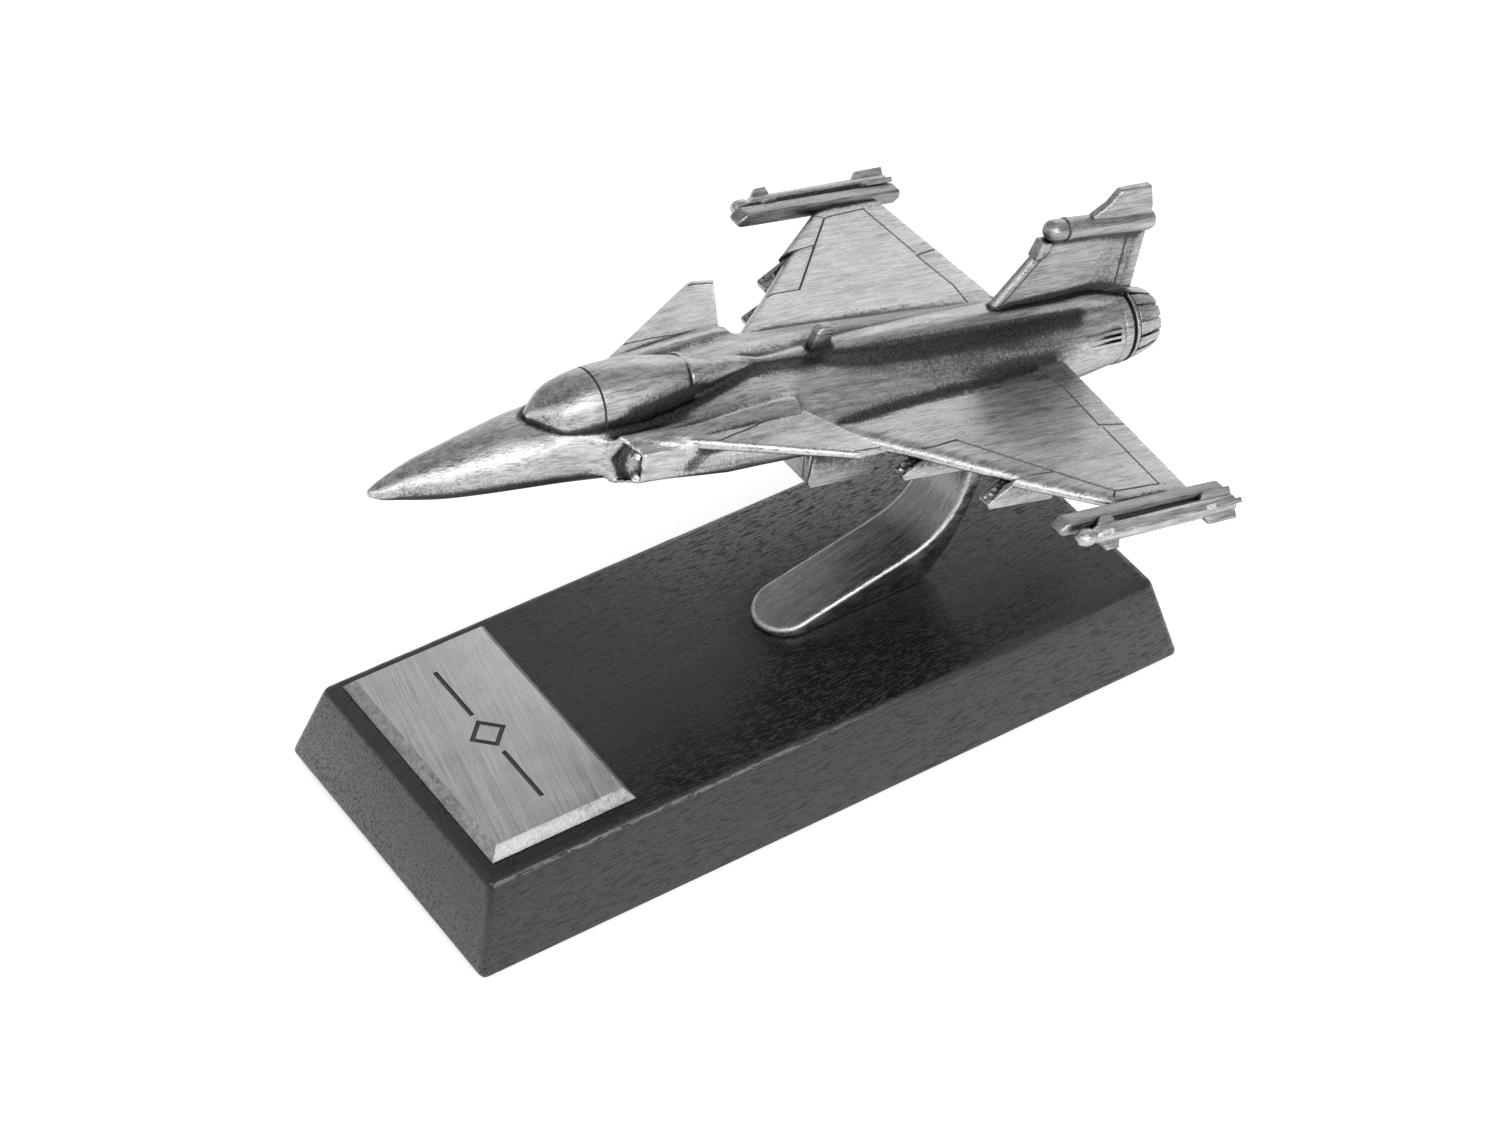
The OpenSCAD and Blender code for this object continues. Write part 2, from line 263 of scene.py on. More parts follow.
def combine(piece, other, operation):
    """Adds or cuts away another piece, which is used up. Cut walls keep its material."""
    join = piece.modifiers.new("combine", "BOOLEAN")
    join.operation = operation
    join.solver = "MANIFOLD"
    join.material_mode = "TRANSFER"
    join.object = other
    settle(piece)
    bpy.data.objects.remove(other)


def smooth(piece, degrees=40):
    """Smooth shading, with crisp edges where faces meet at more than an angle."""
    piece.data.shade_smooth()
    piece.data.set_sharp_from_angle(angle=math.radians(degrees))


def leaning_block(name, foot_x, foot_y, low_z, high_z, lean, place, material):
    """A block whose four sides lean in by lean from foot to top."""
    points = [(sx * (foot_x / 2 - inset), sy * (foot_y / 2 - inset), z)
              for z, inset in ((low_z, 0), (high_z, lean))
              for sx, sy in ((-1, -1), (1, -1), (1, 1), (-1, 1))]
    faces = [(3, 2, 1, 0), (4, 5, 6, 7)] + [(i, (i + 1) % 4, 4 + (i + 1) % 4, 4 + i)
                                            for i in range(4)]
    return new_piece(name, points, faces, place, material)


def hand_over(piece, node):
    """A piece is done: it rides on the one body and stands for its CAD node."""
    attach(piece, "root")
    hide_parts(node)


def soften(piece, width, segments=3):
    """Rounds a piece's edges."""
    bevel = piece.modifiers.new("soften", "BEVEL")
    bevel.width = width * MM
    bevel.segments = segments
    bevel.limit_method = "ANGLE"
    bevel.angle_limit = math.radians(25)
    settle(piece)


def lathe(profile, turns=48):
    """Rings of a turned shape about Z from (radius, height) pairs, bottom to top."""
    angle = np.linspace(0, 2 * math.pi, turns, endpoint=False)
    return [[(r * math.cos(a), r * math.sin(a), z) for a in angle] for r, z in profile]


def skin_rings(rings):
    """Points and faces of a closed skin through rings that all have as many points."""
    rings = np.asarray(rings, float)
    count, n = rings.shape[:2]
    ring, step = np.meshgrid(np.arange(count - 1) * n, np.arange(n), indexing="ij")
    after = (step + 1) % n
    quads = np.stack([ring + step, ring + after, ring + n + after, ring + n + step], -1)
    caps = [list(range(n))[::-1], list(range((count - 1) * n, count * n))]
    return rings.reshape(-1, 3).tolist(), quads.reshape(-1, 4).tolist() + caps


stain, shader, at = new_material("stained_wood", Specular_IOR_Level=0.72)
lit_end_faces = at.node("ShaderNodeAttribute", {"attribute_name": "lit_end_faces"}, {}, "Fac")
pores = noise(at, (0.36, 2.8, 0.36), 2, 0.6).over(0.58, 0.62)
fine_pores = noise(at, (0.24, 1.6, 0.24), 2, 0.6).over(0.58, 0.63)
bands = noise(at, (4, 60, 4), 3, 0.6).over(0.3, 0.7)
fibres = noise(at, (0.15, 4, 0.15), 3, 0.6).over(0.3, 0.7)
holes = (pores + fine_pores * 0.6).over(0, 1)
stained = (bands * 0.5 + fibres * 0.5).blend(grey(0.003), grey(0.011))
# The end faces get a lighter colour than the top and sides: painted light on the ends.
ends_painted_lighter = lit_end_faces.blend(stained, (bands * 0.4 + fibres * 0.6).blend(grey(0.008), grey(0.032)))
connect(shader, (holes * 0.6).blend(ends_painted_lighter, grey(0.0005)), fibres * 0.08 + holes * 0.5 + 0.16,
        fibres * 0.06 - holes * 0.7, 0.16)
plinth = leaning_block("plinth_wood", foot.x / MM, foot.y / MM, low.z / MM, wood_top, LEAN, standing,
                       stain)
soften(plinth, EDGE)
SCREW_HEAD = 5.6                    # width of a screw's head
COUNTERBORE = 4.2                   # radius of the wide stretch of a bore
COUNTERBORE_DEPTH = 6
SHANK_BORE = 1.6                    # radius of the narrow stretch
screw_low, screw_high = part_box("strut_screws")
first_screw = screw_low.y / MM + SCREW_HEAD / 2
last_screw = screw_high.y / MM - SCREW_HEAD / 2
step_height = low.z / MM + COUNTERBORE_DEPTH
for screw_y in (first_screw, last_screw):
    bore = lathe([(COUNTERBORE, 0), (COUNTERBORE, step_height), (SHANK_BORE, step_height),
                  (SHANK_BORE, wood_top + 1)])
    combine(plinth, new_piece("bore", *skin_rings(bore),
                              standing @ Matrix.Translation((0, screw_y, 0))), "DIFFERENCE")
# The end faces are marked for their painted lighter colour.
faces_ends = plinth.data.attributes.new("lit_end_faces", "FLOAT", "FACE")
faces_ends.data.foreach_set("value", [float(abs(p.normal.y) > 0.8) for p in plinth.data.polygons])
smooth(plinth, 30)
hand_over(plinth, "plinth")

# ---- Screws
# Two steel screws hold the strut from below, each with a washer. Both are zinc plated.
zinc, shader, at = new_material("zinc_steel", Metallic=1.0)
clouds = noise(at, (1.5, 1.5, 1.5), 3, 0.6)
turning = noise(at, (3, 3, 0.08), 2, 0.6)
connect(shader, clouds.blend(grey(0.42), grey(0.6)), clouds * 0.2 + 0.25, turning, 0.02)
for node in ("strut_screws", "screw_washers"):
    dress(node, zinc)

# ---- Pewter
# The castings are a tin alloy, blackened all over and then brushed and polished, so the black stays in
# the hollows. The same darkening also paints shade in hollows, between parts, on undersides and along
# some bands. The brush runs along the aircraft; the hollows and the painted shade are measured below.
PITCH = math.radians(13)
nose_tip = Vector((0, -64.5, wood_top + 59.3))
flying = standing @ Matrix.Translation(nose_tip) @ Matrix.Rotation(-PITCH, 4, "X")


def pewter_finish(name, bright, dark, gloss, brush, turn=(0, 0, 0), spread=0.65):
    """Brushed pewter. Brush is the size of its scratches, turn their direction in degrees,
    and spread how much their brightness differs."""
    made, shader, at = new_material(name, Metallic=1.0)
    turned = at.node("ShaderNodeMapping", {"vector_type": "POINT"},
                     {"Vector": at, "Rotation": [math.radians(a) for a in turn]})
    patina_and_shade = at.node("ShaderNodeAttribute", {"attribute_name": "patina_and_shade"}, {}, "Fac")
    cloud = noise(at, (5, 8, 5), 3, 0.6).over(0.25, 0.75)
    scratches = noise(turned, brush, 4, 0.7).over(0.33, 0.67)
    strokes = noise(turned, [3.5 * side for side in brush], 3, 0.6).over(0.32, 0.68)
    rubbed_and_highlit = at.node("ShaderNodeAttribute", {"attribute_name": "rubbed_and_highlit"}, {}, "Fac")
    grain = noise(at, (0.4, 0.4, 0.4), 3, 0.7).over(0.25, 0.75)
    # The colour darkens by the patina_and_shade attribute: the black patina in hollows, and painted shade
    # in hollows, between parts, on undersides and along bands.
    patina_and_shade_mask = (patina_and_shade * 1.1 + (grain - 0.5) * 0.55 + (cloud - 0.5) * 0.3
            + (scratches - 0.5) * 0.15).over(0.12, 0.85)
    brushed = (scratches * 0.45 + strokes * 0.3 + cloud * 0.25).blend(
        grey(bright * (1 - spread)), grey(bright * (1 + spread)))
    # Convex edges are lighter: rubbed bright by the buff, and a painted highlight along them.
    polish_and_highlight = (rubbed_and_highlit * scratches * 0.5).blend(brushed, grey(bright * 1.7))
    colour = patina_and_shade_mask.blend(polish_and_highlight, grain.blend(grey(dark * 0.4), grey(dark * 2.4)))
    rough = gloss + (strokes - 0.5) * 0.14 + (scratches - 0.5) * 0.12 + patina_and_shade_mask * 0.15
    relief = (scratches * 0.5 + strokes * 0.4 + grain * 0.25) * (1 - patina_and_shade_mask) + grain * patina_and_shade_mask * 1.6
    connect(shader, colour, rough, relief, 0.03)
    return made


def tarnish_finish(name, value):
    """The black that stays in engraved lines."""
    made, shader, at = new_material(name, Metallic=0.6)
    pits = noise(at, (0.2, 0.2, 0.2), 2, 0.6)
    connect(shader, pits.blend(grey(value * 0.5), grey(value * 1.8)), pits * 0.3 + 0.45, pits, 0.03)
    return made


PITCH_DEGREES = math.degrees(PITCH)
aircraft_pewter = pewter_finish("aircraft_pewter", 0.38, 0.04, 0.28, (0.26, 4, 0.26),
                                (PITCH_DEGREES, 0, 0))
tarnish = tarnish_finish("tarnish", 0.09)
castings = []


def finish_casting(piece, node, degrees):
    """Shades a casting, keeps it for the patina and painted shade below, and hands it over."""
    smooth(piece, degrees)
    castings.append(piece)
    hand_over(piece, node)


def engrave(piece, lines, place, width=0.3, depth=0.24, gap=0.5):
    """Cuts V-shaped lines into a piece along rough points that are moved onto its surface."""
    mesh = piece.data
    surface = BVHTree.FromPolygons([v.co for v in mesh.vertices], [p.vertices for p in mesh.polygons])
    for line in lines:
        path = []
        for start, end in zip(line, line[1:]):
            start, end = Vector(start), Vector(end)
            steps = max(1, round((end - start).length / gap))
            path += [start.lerp(end, i / steps) for i in range(steps)]
        path.append(Vector(line[-1]))
        found = [surface.find_nearest(place @ p)[:2] for p in path]
        rings = []
        for i, (point, normal) in enumerate(found):
            ahead = found[min(i + 1, len(found) - 1)][0] - found[max(i - 1, 0)][0]
            side = ahead.cross(normal).normalized() * width * MM
            lift = normal * depth * MM
            rings.append([point + lift + side, point + lift - side, point - lift])
        cutter = new_piece("line", *skin_rings(rings), Matrix(), tarnish)
        combine(piece, cutter, "DIFFERENCE")


# ---- Name plate
# A rectangular plate, brushed across its width and stuck to the wood with a film. Its bevelled rim is a
# darker, rougher pewter than its top: painted shade that tones down the key light's highlight on it. It
# is engraved with two rules and a lozenge.
film, shader, at = new_material("adhesive_film", Alpha=1.0)
specks = noise(at, (1.5, 1.5, 1.5), 3, 0.6)
connect(shader, specks.blend(grey(0.45), grey(0.6)), specks * 0.1 + 0.35, specks, 0.02)
dress("plate_film", film)

BEVEL = 1.5
RULE = 0.7                          # width of the engraved rules
ENGRAVED = 0.35
LOZENGE = 4.4                       # side of the engraved lozenge
low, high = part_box("name_plate")
size = (high - low) / MM
middle = (high + low) / (2 * MM)
on_plate = standing @ Matrix.Translation((middle.x, middle.y, 0))
plate_pewter = pewter_finish("plate_pewter", 0.52, 0.04, 0.44, (9, 0.16, 0.3), (0, 0, 12), 0.36)
plate_rim_shaded = pewter_finish("plate_rim_shaded", 0.36, 0.04, 0.46, (0.3, 0.3, 0.3))
top = high.z / MM
plate = leaning_block("name_plate_pewter", size.x, size.y, low.z / MM, top, BEVEL, on_plate,
                      plate_pewter)
soften(plate, 0.12, 2)
for side in (-1, 1):
    rule = leaning_block("rule", size.x / 4, RULE, top - ENGRAVED, top + 1, -0.1,
                         on_plate @ Matrix.Translation((side * size.x / 4.4, 0, 0)), tarnish)
    combine(plate, rule, "DIFFERENCE")
on_corner = on_plate @ Matrix.Rotation(math.radians(45), 4, "Z")
lozenge = leaning_block("lozenge", LOZENGE, LOZENGE, top - ENGRAVED, top + 1, -0.1, on_corner,
                        tarnish)
inside = LOZENGE - 2 * RULE
island = leaning_block("island", inside, inside, top - 1, top + 2, 0, on_corner, tarnish)
combine(lozenge, island, "DIFFERENCE")
combine(plate, lozenge, "DIFFERENCE")
plate.data.materials.append(plate_rim_shaded)
for face in plate.data.polygons:
    if face.material_index == 0 and abs(face.normal.z) < 0.95:
        face.material_index = len(plate.data.materials) - 1
smooth(plate, 25)
hand_over(plate, "name_plate")

# ---- Strut
# One thick casting. Its foot lies on the wood with a round nose, then it rises and sweeps up to the
# belly. Its faces are a darker pewter and its rounded long edges a lighter one: polish, and a painted
# highlight along them.


def bezier(a, b, c, d, steps):
    """Points on a curve from a to d that leaves towards b and arrives from c."""
    k = np.linspace(0, 1, steps)[:, None]
    j = 1 - k
    a, b, c, d = (np.array(p, float) for p in (a, b, c, d))
    return a * j**3 + 3 * b * j * j * k + 3 * c * j * k * k + d * k**3


def side_plate(name, outline, x, width, edge, place, material):
    """A plate cut from a side view (station, height), centred on x, its edges rounded."""
    n = len(outline)
    points = [(x + end * width / 2, *p) for end in (-1, 1) for p in outline]
    rim = [(i, (i + 1) % n, n + (i + 1) % n, n + i) for i in range(n)]
    piece = new_piece(name, points, [list(range(n)), list(range(n, 2 * n))] + rim, place, material)
    if edge:
        soften(piece, edge)
    return piece


def plan_block(name, plan, low_z, high_z, place, material):
    """A block cut from a plan (x, y), from one height up to another."""
    n = len(plan)
    points = [(x, y, z) for z in (low_z, high_z) for x, y in plan]
    rim = [(i, (i + 1) % n, n + (i + 1) % n, n + i) for i in range(n)]
    return new_piece(name, points, [list(range(n)), list(range(n, 2 * n))] + rim, place, material)


def belly_height(y, belly=-4.6):
    """Height above the wood of the aircraft's flat seat, over a place on the plinth."""
    station = (y - nose_tip.y - belly * math.sin(PITCH)) / math.cos(PITCH)
    return nose_tip.z - wood_top - station * math.sin(PITCH) + belly * math.cos(PITCH)


strut_low, strut_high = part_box("stand_strut")
STRUT_EDGE = 1.1
half = (strut_high.x - strut_low.x) / (2 * MM)
front = strut_low.y / MM
strut_side = [(front, 0), (front, 1.2), (25, 6.3),
              *bezier((27, 6.8), (33, 8.3), (35.8, 13), (36.7, 18.5), 14),
              (38.45, belly_height(38.45)), (42.8, belly_height(42.8)),
              *bezier((39.7, 16), (37, 9), (33.5, 2.6), (29, 0), 14)]
on_wood = standing @ Matrix.Translation((0, 0, wood_top))
strut_dark = pewter_finish("strut_pewter", 0.27, 0.03, 0.26, (0.16, 2.4, 1.2), spread=0.45)
# The lighter pewter of the rounded edges is polish and a painted highlight.
strut_edge_polish_and_highlight = pewter_finish("strut_polish_and_highlight", 0.45, 0.15, 0.3, (0.15, 3, 0.15))
strut = side_plate("strut_casting", strut_side, 0, 2 * half, 0, on_wood, strut_dark)
round_nose = [(half * math.cos(a), front + half + half * math.sin(a))
              for a in np.linspace(math.pi, 2 * math.pi, 33)]
plan = round_nose + [(half, 60), (-half, 60)]
combine(strut, plan_block("strut_plan", plan, -5, 60, on_wood, strut_dark), "INTERSECT")
strut.data.materials.clear()
strut.data.materials.append(strut_dark)
strut.data.materials.append(strut_edge_polish_and_highlight)
rounding = strut.modifiers.new("polished_and_highlit_edges", "BEVEL")
rounding.width = STRUT_EDGE * MM
rounding.segments = 5
rounding.limit_method = "ANGLE"
rounding.angle_limit = math.radians(35)
rounding.material = 1
settle(strut)
finish_casting(strut, "stand_strut", 60)

# ---- Aircraft body
# The body, its intake trunks, its spine and the roots of the wings are one casting with soft
# fillets. It is built as one surface: each part is a tube, and the tubes melt into each other.
STEP = 0.34
grid_x = np.arange(STEP / 2, 13.8, STEP)
grid_s = np.arange(-1, 134.5, STEP)
grid_t = np.arange(-6.6, 13.6, STEP)
X = grid_x[:, None, None]
S = grid_s[None, :, None]
T = grid_t[None, None, :]


def faired(stations, column, at):
    """A smooth curve through one column of a table of stations, against its first."""
    place = np.array([row[0] for row in stations], float)
    value = np.array([row[column] for row in stations], float)
    slope = np.gradient(value, place)
    i = np.clip(np.searchsorted(place, at) - 1, 0, len(place) - 2)
    gap = place[i + 1] - place[i]
    k = np.clip((at - place[i]) / gap, 0, 1)
    return ((1 + 2 * k) * (1 - k)**2 * value[i] + k * (1 - k)**2 * gap * slope[i]
            + k * k * (3 - 2 * k) * value[i + 1] + k * k * (k - 1) * gap * slope[i + 1])


def distance(level):
    """Turns a field that is zero on a surface into distances near that surface."""
    level = np.broadcast_to(level, (len(grid_x), len(grid_s), len(grid_t)))
    slopes = np.gradient(level, STEP)
    return level / np.maximum(np.sqrt(sum(g * g for g in slopes)), 0.02)


def tube(middle, width, low, high, square):
    """Distance to a tube with rounded box sections: its half-width, foot and top by station."""
    u = np.abs((X - middle) / width)
    v = np.abs((T - (low + high) / 2) / ((high - low) / 2))
    return distance((u**square + v**square)**(1 / square) - 1)


def melt(a, b, fillet):
    """Joins two fields with a fillet between them."""
    share = np.maximum(fillet - np.abs(a - b), 0) / fillet
    return np.minimum(a, b) - share * share * fillet / 4


def inside_all(*fields):
    """Where all of the fields overlap."""
    common = fields[0]
    for other in fields[1:]:
        common = np.maximum(common, other)
    return common


def carve(a, b, edge=0.2):
    """Cuts the second field out of the first."""
    return -melt(-a, b, edge)


# station, half-width, foot, top, squareness of the lower half
BODY = [[0, 0.4, -0.4, 0.4, 2], [2, 1.3, -1.2, 1.4, 2], [5, 2.2, -1.7, 2.7, 2],
        [8, 3, -2.2, 3.8, 2], [11, 3.6, -2.6, 4.6, 2], [17, 4.6, -3, 6.2, 2],
        [23, 5.4, -3.2, 7.4, 2], [30, 6.0, -3.3, 7.8, 2.1], [35, 6.5, -3.4, 7.75, 2.2],
        [46, 7.1, -3.7, 8.0, 2.8], [60, 8, -4.4, 9.1, 2.8], [75, 8.6, -5, 9.4, 2.6],
        [90, 8.6, -5.2, 9.2, 2.3], [105, 8.4, -5.2, 9.2, 2.1], [118, 7.7, -4.9, 9.3, 2],
        [126, 6.9, -4.5, 9.2, 2], [131.5, 6.1, -3.7, 8.5, 2]]
# station, middle, half-width, foot, top
TRUNK = [[35.5, 8.5, 2.2, 0, 6.8], [38.5, 8.6, 2.6, -0.4, 7], [46, 8.4, 3.4, -1, 7.0],
         [54, 8.1, 3.7, -1.3, 7.5], [60, 8, 3.8, -1.4, 8.0], [64.5, 8, 3.8, -1.5, 8.1],
         [67.5, 7.9, 3.85, -1.5, 7.1], [80, 7.2, 4.1, -1.8, 5.6], [92, 6.2, 3.9, -2, 4.6],
         [106, 4.8, 3.4, -1.6, 4.2], [116, 3.4, 2.4, -0.8, 3.6]]
# station, half-width, top
SPINE = [[49, 3.8, 12.7], [51.5, 3.45, 12.35], [56, 2.6, 11.5], [60, 1.8, 10.8], [64.5, 0.9, 9.9],
         [72, 1.6, 9.95], [82, 2.2, 10.4], [95, 2.5, 10.6], [105, 2.6, 10.5], [118, 2.7, 10.4],
         [128, 2.7, 10.1], [132, 2.2, 8.8]]
# station, half-width, top
CANOPY = [[24, 0.5, 8.4], [26, 2.4, 10], [28, 3.8, 11.3], [31, 4.6, 12.6], [34, 4.9, 13.3],
          [38, 5, 13.7], [42, 4.8, 13.7], [47, 4.2, 13.1], [51.5, 3.5, 12.4]]
SILL = 7.3                          # height of the canopy's foot
WING_TRAIL = 116.8                  # station of the wing's trailing edge
WING_NOSE = 2.6                     # how far aft the wing's round nose reaches
WING_TAIL = 0.35                    # share of the thickness left at the trailing edge
MOUTH = [(6.5, 3), (7.5, -0.8), (11, 1), (10.7, 5.5), (7.3, 7)]


def wing_lead(x):
    """Station of the wing's leading edge: a kink, and a dogtooth where the outer part steps ahead."""
    inner = np.where(x < 20.8, 69.9 + (x - 12) * 1.295, 81.3 + (x - 20.8) * 1.242)
    return np.where(x < 29.9, inner, 91 + (x - 29.9) * 1.388)


def wing_middle(x, share):
    """Height of the wing's middle: it falls to the tip, and droops at its leading edge."""
    return 4.5 - 0.05 * x - 0.5 * (1 - share)


def wing_thickness(x):
    return np.interp(x, [12, 39.7], [2.5, 1.9])


def half_thickness(full, behind, nose, share, tail):
    """Half of a thin surface's thickness, behind mm aft of its edge: a round nose, then a taper."""
    rounded = np.sqrt(np.clip(1 - (1 - np.clip(behind / nose, 0, 1))**2, 0, 1))
    return full / 2 * rounded * np.interp(share, [0, 0.3, 0.7, 1], [1, 1, 0.75, tail])


def canard_lead(x):
    """Station of the canard's leading edge."""
    return 45.4 + (x - 10.6) * 1.862


def mouth_field(inset):
    """Distance to a prism through the intake's mouth, along the aircraft."""
    edges = []
    for (x0, t0), (x1, t1) in zip(MOUTH, MOUTH[1:] + MOUTH[:1]):
        length = math.hypot(x1 - x0, t1 - t0)
        edges.append(((X - x0) * (t1 - t0) - (T - t0) * (x1 - x0)) / length)
    return np.maximum.reduce([np.broadcast_to(e, (len(grid_x), 1, len(grid_t))) for e in edges]) + inset


# The body itself, boxy behind the canopy.
top_square = faired([[0, 2], [22, 2], [28, 2.4], [35, 3.4], [46, 3.6], [58, 3.4], [66, 3.4],
                     [82, 2.6], [100, 2.2], [118, 2], [132, 2]], 1, S)
body_middle = (faired(BODY, 2, S) + faired(BODY, 3, S)) / 2
square = np.where(T > body_middle, top_square, faired(BODY, 4, S))
body = tube(0, *(faired(BODY, i, S) for i in (1, 2, 3)), square)
body = inside_all(body, 0.1 - S, S - 132.5)
# The trunk starts as the slanted mouth and turns into a tube.
mouth_slant = (35.2 + (X - 6.6) * 0.75 - S) * 0.8
trunk_tube = tube(*(faired(TRUNK, i, S) for i in (1, 2, 3, 4)), 3)
into_tube = np.clip((S - 38) / 16, 0, 1)
trunk = mouth_field(0) * (1 - into_tube) + trunk_tube * into_tube
trunk = inside_all(trunk, mouth_slant, S - 116)
spine = tube(0, faired(SPINE, 1, S), 6, faired(SPINE, 2, S), 2.6)
spine = inside_all(spine, 50 - S, S - 132.5)
sill = tube(0, faired(CANOPY, 1, S) + 0.55, 3, SILL + 0.15, 3.5)
sill = inside_all(sill, 24 - S, S - 54)
# The roots of the wing and the canard end where their own castings start.
ROOT = 12
behind = S - wing_lead(X)
share = np.clip(behind / (WING_TRAIL - wing_lead(X)), 0, 1)
slab = (np.abs(T - wing_middle(X, share))
        - half_thickness(wing_thickness(ROOT), behind, WING_NOSE, share, WING_TAIL))
slab = inside_all(slab, -behind * 0.6, S - WING_TRAIL, X - ROOT)
aft = S - canard_lead(X)
canard_middle = 5.8 + 2.0 * np.clip(aft / 19.6, 0, 1)
canard_root = np.abs(T - canard_middle) - 0.6 * np.sqrt(np.clip(aft / 1.2, 0.02, 1))
canard_root = inside_all(canard_root, aft * -0.5, S - 64.6, np.abs(X - 10.3) - 1.3)
field = melt(body, trunk, 2.4)
field = melt(field, spine, 0.5)
field = melt(field, sill, 0.6)
field = melt(field, canard_root, 0.1 + 2.2 * np.clip((11.6 - X) / 2, 0, 1))
wing_fillet = np.clip((ROOT - X) / 3, 0, 1) * np.interp(S, [82, 108], [4.0, 1.2])
field = melt(field, slab, 0.2 + wing_fillet)
# Flat seats under the belly for the pylon and for the strut: station, half-length, fillet.
for station, half_length, fillet in ((81.2, 7, 1.0), (109.5, 4, 1.5)):
    seat = inside_all(np.abs(X) - 5.4, np.abs(S - station) - half_length, np.abs(T + 3.4) - 1.4)
    field = melt(field, seat, fillet)
# The mouth is hollow, and a narrow gap runs round the canopy's foot.
field = carve(field, inside_all(mouth_field(0.5), S - (36.5 + (X - 6.6) * 0.75)))
foot_line = X - faired(CANOPY, 1, S)
foot_line = foot_line / np.sqrt(1 + np.gradient(faired(CANOPY, 1, S), STEP, axis=1)**2)
sill_gap = inside_all(np.abs(foot_line) - 0.25, SILL - 0.4 - T, np.abs(S - 39.3) - 11.7)
field = carve(field, sill_gap, 0.1)
field = np.concatenate([field[::-1], field])


def read_grid(grid, at):
    """Values of a grid at points given in its steps, straight between its corners."""
    base = np.clip(np.floor(at).astype(int), 0, np.array(grid.shape[:3]) - 2)
    k = at - base
    total = 0
    for corner in np.ndindex(2, 2, 2):
        weight = np.prod(np.where(corner, k, 1 - k), axis=1)
        total = total + weight.reshape((-1,) + (1,) * (grid.ndim - 3)) * grid[tuple((base + corner).T)]
    return total


def surface_of(grid, low, step, passes=3):
    """Quads over the zero level of a grid: one corner in each cell that the surface crosses."""
    inside = grid < 0
    cells = tuple(n - 1 for n in grid.shape)
    total = np.zeros(cells + (3,))
    hits = np.zeros(cells)
    crossings = []
    for axis in range(3):
        order = (axis, (axis + 1) % 3, (axis + 2) % 3)
        values = grid.transpose(order)
        a, b = values[:-1], values[1:]
        crossed = (a < 0) != (b < 0)
        share = np.where(crossed, a / np.where(crossed, a - b, 1), 0)
        crossings.append((order, crossed, a < 0))
        n1, n2 = values.shape[1:]
        back = np.argsort(order)
        for d1, d2 in np.ndindex(2, 2):
            part = crossed[:, d1:n1 - 1 + d1, d2:n2 - 1 + d2]
            offset = np.zeros(part.shape + (3,))
            offset[..., axis] = share[:, d1:n1 - 1 + d1, d2:n2 - 1 + d2]
            offset[..., order[1]] = d1
            offset[..., order[2]] = d2
            total += (offset * part[..., None]).transpose(*back, 3)
            hits += part.transpose(back)
    used = hits > 0
    index = np.full(cells, -1)
    index[used] = np.arange(used.sum())
    at = np.argwhere(used) + total[used] / hits[used][:, None]
    quads = []
    for order, crossed, out in crossings:
        corners = index.transpose(order)
        core = crossed[:, 1:-1, 1:-1]
        four = np.stack([corners[:, :-1, :-1][core], corners[:, 1:, :-1][core],
                         corners[:, 1:, 1:][core], corners[:, :-1, 1:][core]], -1)
        flip = ~out[:, 1:-1, 1:-1][core]
        four[flip] = four[flip][:, ::-1]
        quads.append(four)
    quads = np.concatenate(quads)
    slope = np.stack(np.gradient(grid), -1)
    for _ in range(passes):
        total = np.zeros_like(at)
        count = np.zeros(len(at))
        for one, other in ((0, 1), (1, 2), (2, 3), (3, 0)):
            np.add.at(total, quads[:, one], at[quads[:, other]])
            np.add.at(count, quads[:, one], 1)
        at = at * 0.5 + 0.5 * total / count[:, None]
        for _ in range(2):
            pull = read_grid(slope, at)
            level = read_grid(grid, at)
            strength = np.maximum((pull * pull).sum(1), 0.25 * step * step)
            move = -(level / strength)[:, None] * pull
            at = at + np.clip(move, -0.4, 0.4)
    return np.array(low) + at * step, quads


points, quads = surface_of(field, (-grid_x[-1], grid_s[0], grid_t[0]), STEP)
fuselage = new_piece("fuselage_casting", points.tolist(), quads.tolist(), flying, aircraft_pewter)
ENGINE_HEIGHT = 2.4


def bent_bar(name, stations, angles, radii, material):
    """A bar that lies round the engine: its stations, its angles above level, its radii."""
    turn = np.radians(np.linspace(*angles, 5))
    rings = []
    for s in stations:
        outer = [(radii[1] * math.cos(a), s, ENGINE_HEIGHT + radii[1] * math.sin(a)) for a in turn]
        inner = [(radii[0] * math.cos(a), s, ENGINE_HEIGHT + radii[0] * math.sin(a)) for a in turn[::-1]]
        rings.append(outer + inner)
    return new_piece(name, *skin_rings(rings), flying, material)


# Each airbrake is a frame of five bars round two slots.
bars = [((122.6, 130.4), angles) for angles in ((13, 17), (21, 24), (28, 32))]
bars += [(stations, (13, 32)) for stations in ((122.6, 123.3), (129.7, 130.4))]
for stations, (low_angle, high_angle) in bars:
    for angles in ((low_angle, high_angle), (180 - high_angle, 180 - low_angle)):
        bar = bent_bar("airbrake_bar", stations, angles, (5.5, 7.15), aircraft_pewter)
        combine(fuselage, bar, "UNION")
for side in (-1, 1):
    engrave(fuselage, [[(side * 9.0, 111.5, 5.5), (side * 11.9, 112.2, 5)],
                       [(side * 5.4, 28.6, -2.6), (side * 7.2, 35, -1.6)]], flying, 0.3, 0.24)
finish_casting(fuselage, "fuselage", 50)

# Beads of bare metal lie in the mouths.


